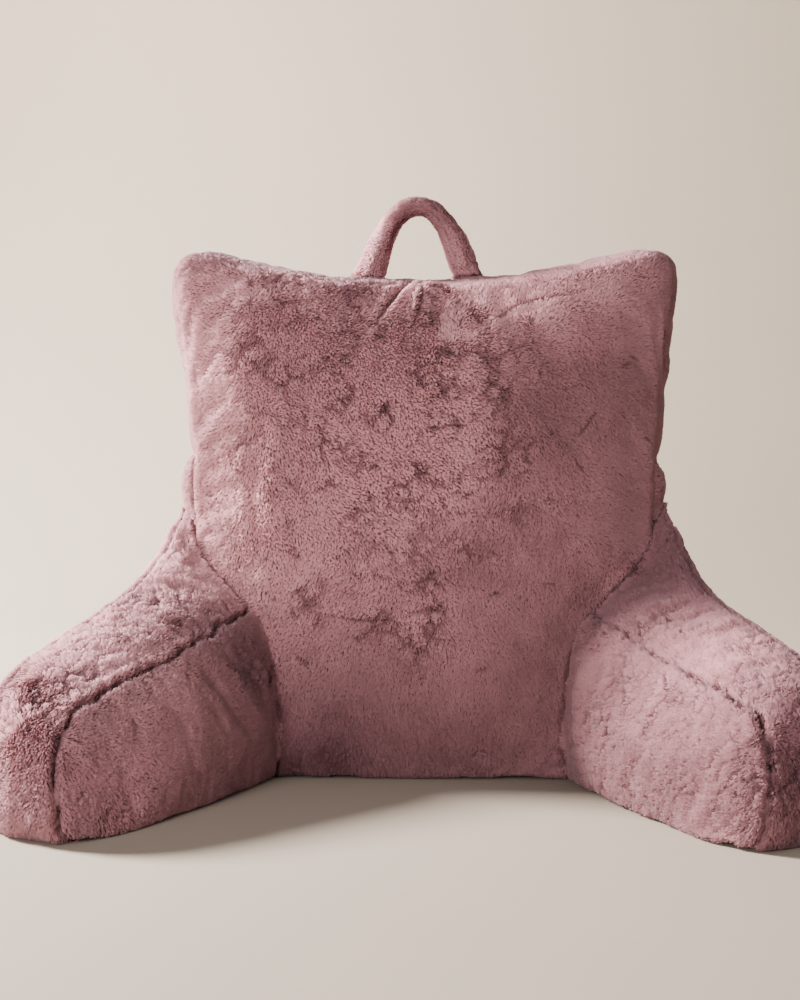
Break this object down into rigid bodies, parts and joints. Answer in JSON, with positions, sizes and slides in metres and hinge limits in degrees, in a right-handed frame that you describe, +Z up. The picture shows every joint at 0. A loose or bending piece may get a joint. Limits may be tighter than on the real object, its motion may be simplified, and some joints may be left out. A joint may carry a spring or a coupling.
{
  "type": "reading pillow with arms",
  "caption": "Plush reading pillow with a tall backrest, pointed upper corners, splayed bolster arms and a padded carrying loop on top.",
  "frame": {"origin": "middle of the footprint's bounding box, on the surface the pillow stands on", "axes": "+X across the backrest, +Y from the open end of the arms towards the back, +Z up; the reader leans on the face that looks along -Y"},
  "size_m": [0.678, 0.4288, 0.5181],
  "materials": {
    "plush": "short, dense, brushed faux fur in dusty pink, matt with a soft sheen along the pile"
  },
  "bodies": {
    "root": {"backrest": "plush", "arm_left": "plush", "arm_right": "plush", "handle": "plush"}
  },
  "joints": []
}
